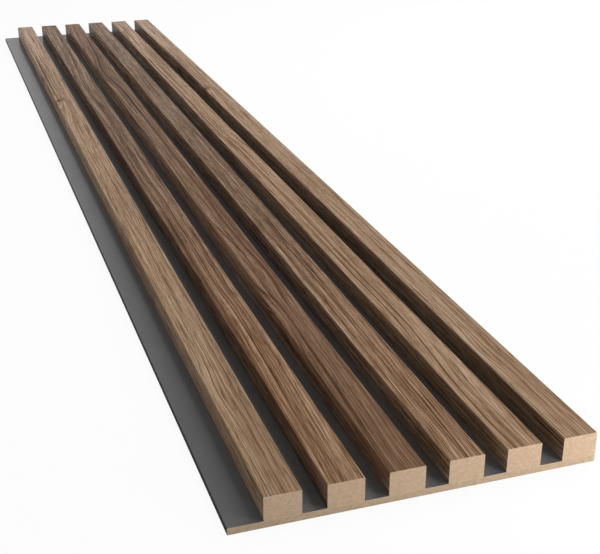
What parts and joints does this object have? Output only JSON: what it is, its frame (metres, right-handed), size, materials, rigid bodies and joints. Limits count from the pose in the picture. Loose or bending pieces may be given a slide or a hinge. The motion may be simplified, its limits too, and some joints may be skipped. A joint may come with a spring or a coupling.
{
  "type": "slatted wall panel",
  "caption": "Long flat wall panel of parallel square-cut slats, walnut wrapped, glued to a thin dark-faced fibreboard with an uncovered strip along its left edge.",
  "frame": {"origin": "centre of the flat back face, which lies on the floor or against the wall", "axes": "+Y along the slats, +X across them away from the bare lip, +Z out of the back face"},
  "size_m": [0.308, 1.8, 0.027],
  "materials": {
    "fibreboard": "bare sawn",
    "anthracite_film": "satin",
    "walnut_wrap": "satin wood print",
    "glue": "dried glue"
  },
  "bodies": {
    "root": {"backing_board": "fibreboard", "face_film": "anthracite_film", "slat_core_1": "fibreboard", "slat_wrap_1": "walnut_wrap", "glue_line_1": "glue", "slat_core_2": "fibreboard", "slat_wrap_2": "walnut_wrap", "glue_line_2": "glue", "slat_core_3": "fibreboard", "slat_wrap_3": "walnut_wrap", "glue_line_3": "glue", "slat_core_4": "fibreboard", "slat_wrap_4": "walnut_wrap", "glue_line_4": "glue", "slat_core_5": "fibreboard", "slat_wrap_5": "walnut_wrap", "glue_line_5": "glue", "slat_core_6": "fibreboard", "slat_wrap_6": "walnut_wrap", "glue_line_6": "glue"}
  },
  "joints": []
}
